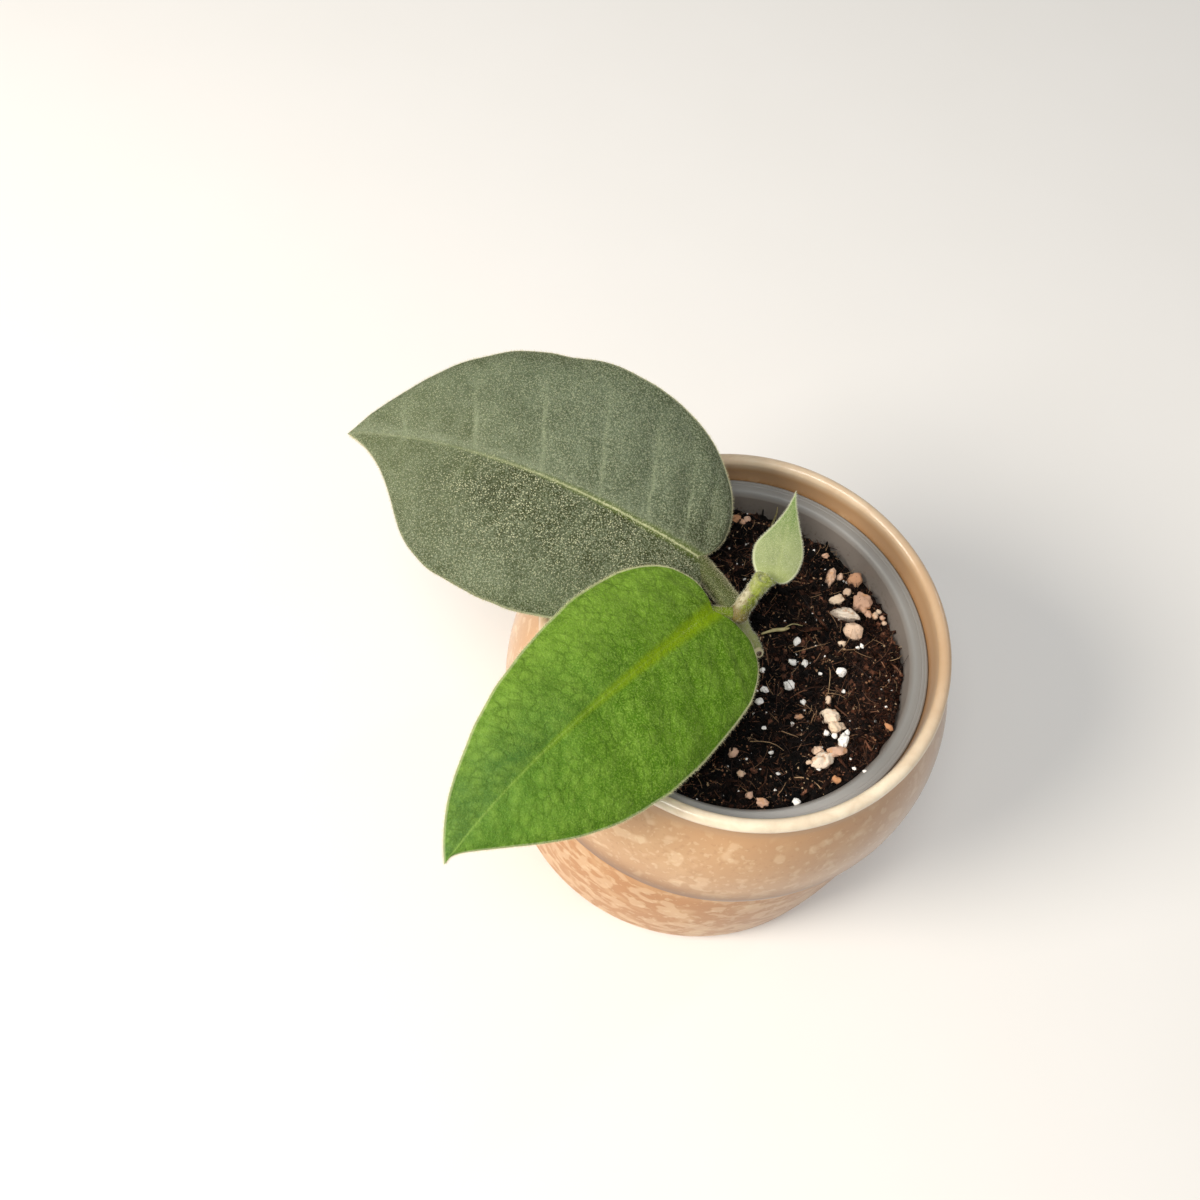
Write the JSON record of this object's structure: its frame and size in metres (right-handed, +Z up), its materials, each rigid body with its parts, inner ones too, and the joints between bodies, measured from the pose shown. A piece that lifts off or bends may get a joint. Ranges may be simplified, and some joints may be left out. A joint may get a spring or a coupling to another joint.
{
  "type": "potted hoya plant",
  "caption": "Young hoya with broad velvety leaves in a plastic nursery pot that stands in a two-tier glazed ceramic cover pot with a rolled rim.",
  "frame": {"origin": "centre of the cover pot's flat foot, on the surface that the pot stands on", "axes": "+Z up; the large grey leaf points to -X and the green leaf points to -X -Y; the picture was taken from the -Y side, looking down"},
  "size_m": [0.1578, 0.1274, 0.1238],
  "materials": {
    "glazed_stoneware": "glossy tan glaze with cream mottling",
    "grey_plastic": "satin moulded polypropylene",
    "potting_mix": "matt, loose coir with pumice and perlite",
    "stem_tissue": "downy",
    "grey_leaf_tissue": "velvety, densely downy",
    "green_leaf_tissue": "satin, thinly downy",
    "young_leaf_tissue": "velvety, densely downy"
  },
  "bodies": {
    "root": {"cover_pot": "glazed_stoneware", "nursery_pot": "grey_plastic", "potting_mix": "potting_mix", "stem": "stem_tissue", "grey_leaf": "grey_leaf_tissue", "green_leaf": "green_leaf_tissue", "young_leaf": "young_leaf_tissue"}
  },
  "joints": []
}
